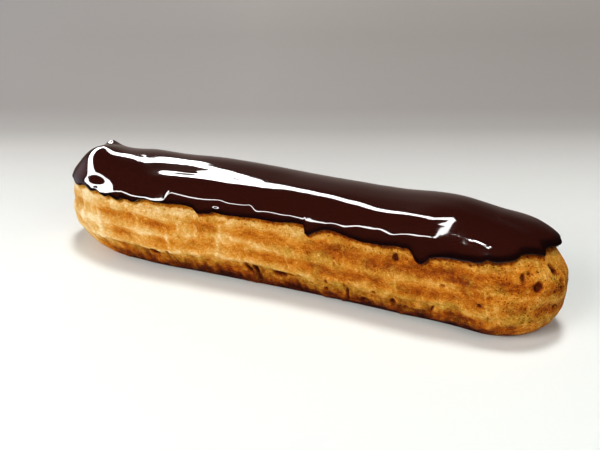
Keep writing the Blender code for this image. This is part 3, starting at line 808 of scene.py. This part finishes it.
def makeGlaze():
    # one closed shell: from the crown down the outside, round the lower corner, back under it into the
    # crust, and up the inside
    plan = planOf(glaze["sideCount"], glaze["endCount"])
    run, edge = plan["run"], edgeOf(plan)
    crisp, rounded = glaze["roundness"]
    radius = rounded + (crisp - rounded) * stretch(run, glaze["crispFront"])
    corner = radius / body["halfWidth"]  # the same as an angle
    edge = edge - corner
    full = glaze["gap"] + glaze["thickness"]
    share = np.linspace(0, 1, glaze["topRows"], endpoint=False)[:, None]
    outer = edge * share, full + coatOf(plan, np.degrees(edge * share), edge) * mm
    full = full + coatOf(plan, np.degrees(edge)[None], edge) * mm
    roll = np.linspace(0, pi / 2, glaze["lipRows"])[:, None]
    lip = edge + corner * np.sin(roll), full - radius * (1 - np.cos(roll))
    back = np.linspace(0, 1, glaze["underRows"] + 1)[1:, None]
    under = (edge + corner * (1 - glaze["tuckTurn"] * back),
             (full - radius) * (1 - back) - glaze["tuck"] * back)
    home = np.linspace(1, 0, glaze["innerRows"] + 1)[1:, None]
    inner = edge * home, glaze["gap"] * ease((1 - home) * 4) + 0 * run  # at the gap from a quarter up
    angle, lift = (np.concatenate(parts) for parts in zip(outer, lip, under, inner))
    plain = plainPoints(plan, angle, lift)
    lift = lift + mm * clouds(plain[..., 0], plain[..., 1], glaze["ripples"])
    above, over = glaze["darkening"]
    # painted shade over the last degrees above the edge
    edgeShade = ease((np.degrees(angle) - np.degrees(edge) + above) / over)
    return addPiece("set_glaze", bodyPoints(plan, angle, lift), {"edgeShade": edgeShade}, setChocolate())


for make, node, slotName in ((makeCrust, "choux_pastry", "choux"), (makeGlaze, "chocolate_glaze", "glaze")):
    piece = make()
    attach(piece, "root")
    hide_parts(node)
    print(piece.name, len(piece.data.polygons), "faces")


# Studio, in metres: strips and spots that draw lines of light on the glaze, soft lamps for the rest, a
# # room that only reflections show, and a sheet of paper with painted shade
studio = {
    "frameHeight": 0.6,  # of the strips and the spots
    # from x, y, to x, y, width: right in two and its corner, rear in two, left in two, front
    "strips": [
        (0.07, -0.45, 0.074, -0.32, 0.02), (0.077, -0.32, 0.079, -0.02, 0.022),
        (0.07, 0, 0.068, 0.23, 0.042), (-0.04, 0.26, 0.03, 0.29, 0.1), (-0.03, 0.24, -1.3, 1.7, 0.075),
        (-1.24, 0.77, -1.2, -0.24, 0.8), (-1.45, 1.5, -1.43, 0.6, 0.38), (-1.25, -0.62, -0.03, -0.46, 0.15),
    ],
    "stripPower": 80.0,  # watts for a square metre of lamp
    "spots": [(0.118, -0.205), (0.1335, -0.143)], "spotSize": (0.002, 0.05), "spotPower": 1200.0,
    # place, side, power: the lamp above that draws the shadow, and soft boxes for the sides
    "softLights": {
        "key": ((0.0, 0.14, 1.20), 0.22, 178.0),
        "soft_box": ((-0.28, -0.62, 0.42), 0.5, 19.0),
        "right_fill": ((0.58, -0.22, 0.48), 0.5, 6.0),
    },
    # directions, and tones by how far a reflection looks that way, from 0 to 1
    "aim": {"rear": (-0.42, 0.90, 0.0), "left": (-0.97, -0.05, -0.15), "down": (0.20, 0.0, -0.98)},
    "rearTones": [(0.0, "#0D0B0B"), (1.0, "#7C706A"), (0.68, "#141010"), (0.8, "#35302D"), (0.9, "#5A504B")],
    "rimTones": [(0.80, "#000000"), (1.0, "#B4A4AA")],
    "roomStrength": 2.0,
    # share of the floor's depth behind the middle, colour: painted shade, greyer further back and darker
    # again to the far left
    "floor": [
        (0, "#EAEDE9"), (1, "#B8B1AB"), (0.1, "#E6E6E3"), (0.16, "#DCDCD8"), (0.2, "#D2D1CD"),
        (0.25, "#C2BFBB"), (0.3, "#A9A5A1"), (0.36, "#A09A96"), (0.65, "#A49D98"),
    ],
    "floorSize": 6, "floorTurn": -23, "floorDepth": (0.0, 0.4),
    "farLeft": "#7E7874", "farLeftDepth": (0.10, 0.15), "farLeftAcross": (-0.02, -0.20),
}


def areaLight(name, place, along, facing, size, power):
    # rectangle of light, long side along one direction and turned to another; watts = power * area
    light = bpy.data.lights.new(name, "AREA")
    light.shape = "RECTANGLE"
    light.size, light.size_y = size
    light.energy = power * light.size * light.size_y
    lamp = bpy.data.objects.new(name, light)
    back = -Vector(facing).normalized()
    side = (Vector(along) - back * back.dot(Vector(along))).normalized()
    axes = Matrix((side, back.cross(side), back)).transposed().to_4x4()
    lamp.matrix_world = Matrix.Translation(place) @ axes
    bpy.context.collection.objects.link(lamp)
    return lamp


def lightObject():
    # strips and spots show only in reflections, and the soft lamps never do
    down, height = (0, 0, -1), studio["frameHeight"]
    for i, (*ends, wide) in enumerate(studio["strips"]):
        start, end = (Vector((x, y, height)) for x, y in (ends[:2], ends[2:]))
        size = ((end - start).length + wide, wide)
        strip = areaLight(f"strip_{i}", (start + end) / 2, end - start, down, size, studio["stripPower"])
        strip.visible_diffuse = False
    for i, (x, y) in enumerate(studio["spots"]):
        areaLight(f"spot_{i}", (x, y, height), (1, 0, 0), down, studio["spotSize"], studio["spotPower"])
    for name, (place, side, power) in studio["softLights"].items():
        areaLight(name, place, (1, 0, 0), -Vector(place), (side, side), power).visible_glossy = False


def makeRoom():
    # a grey wall behind and a paler rim to the left and below, each by the dot product of direction and
    # aim, the lighter kept
    world = bpy.data.worlds.new("room")
    world.use_nodes = True
    world.cycles_visibility.diffuse = False
    bpy.context.scene.world = world
    tree = world.node_tree
    direction = addNode(tree, "TexCoord").outputs["Object"]
    aims = [addNode(tree, "VectorMath", {0: direction, 1: aim}, operation="DOT_PRODUCT")
            for aim in studio["aim"].values()]
    rear, left, below = (aim.outputs["Value"] for aim in aims)
    wall = addNode(tree, "ValToRGB", {"Fac": rear}, studio["rearTones"])
    side = addNode(tree, "Math", {0: left, 1: below}, operation="MAXIMUM")
    rim = addNode(tree, "ValToRGB", {"Fac": side}, studio["rimTones"])
    both = addNode(tree, "Mix", {"Factor": 1.0, 6: wall, 7: rim}, data_type="RGBA", blend_type="LIGHTEN")
    tree.links.new(both.outputs[2], tree.nodes["Background"].inputs["Color"])
    tree.nodes["Background"].inputs["Strength"].default_value = studio["roomStrength"]


def paperWithPaintedShade():
    # matt white paper with painted shade: pale near the object, greyer with its depth, darkest at the far
    # left
    paper, tree, shader = newFinish("paper_painted_shade", {"Roughness": 0.7, "Specular IOR Level": 0.05})
    place = addNode(tree, "TexCoord").outputs["Object"]
    turned = addNode(tree, "Mapping", {"Vector": place, "Rotation": (0, 0, radians(studio["floorTurn"]))})
    across, depth = addNode(tree, "SeparateXYZ", {"Vector": turned}).outputs[:2]
    far, beyond, leftwards = (
        addNode(tree, "MapRange", {"Value": value, "From Min": studio[key][0], "From Max": studio[key][1]})
        for value, key in ((depth, "floorDepth"), (depth, "farLeftDepth"), (across, "farLeftAcross")))
    tone = addNode(tree, "ValToRGB", {"Fac": far}, studio["floor"])
    dark = addNode(tree, "Math", {0: beyond, 1: leftwards}, operation="MULTIPLY")
    paint = addNode(tree, "Mix", {"Factor": dark, 6: tone, 7: linear(studio["farLeft"])}, data_type="RGBA")
    tree.links.new(paint.outputs[2], shader.inputs["Base Color"])
    return paper


lightObject()
makeRoom()
bpy.ops.mesh.primitive_plane_add(size=studio["floorSize"], location=(0, 0, 0))
floor = bpy.context.object
floor.name = "floor"
floor.visible_glossy = False
floor.data.materials.append(paperWithPaintedShade())
print("studio:", len(bpy.data.lights), "lights and the floor")

# Camera: where it aims and stands, then where it looks, in degrees round the object and up
view = {
    "target": (0.01 * mm, -0.43 * mm, 14.47 * mm),
    "azimuth": 22.04, "elevation": 28.29, "distance": 267.65 * mm,
    "look": (22.07, 27.75), "roll": 0.08, "lens": 54.0,
    "sensor": 36.0, "clipStart": 0.01,
}


def backwards(azimuth, elevation):
    # unit vector from the object towards the camera: (sin a cos e, -cos a cos e, sin e)
    a, e = radians(azimuth), radians(elevation)
    return Vector((sin(a) * cos(e), -cos(a) * cos(e), sin(e)))


lens = bpy.data.cameras.new("camera")
lens.lens, lens.sensor_width, lens.clip_start = view["lens"], view["sensor"], view["clipStart"]
camera = bpy.data.objects.new("camera", lens)
camera.location = Vector(view["target"]) + backwards(view["azimuth"], view["elevation"]) * view["distance"]
facing = (-backwards(*view["look"])).to_track_quat("-Z", "Y")
camera.rotation_mode = "QUATERNION"
camera.rotation_quaternion = facing @ Matrix.Rotation(radians(view["roll"]), 3, "Z").to_quaternion()
bpy.context.collection.objects.link(camera)
bpy.context.scene.camera = camera
bpy.context.scene.view_settings.view_transform = "Standard"
print("camera at", tuple(round(value, 3) for value in camera.location))
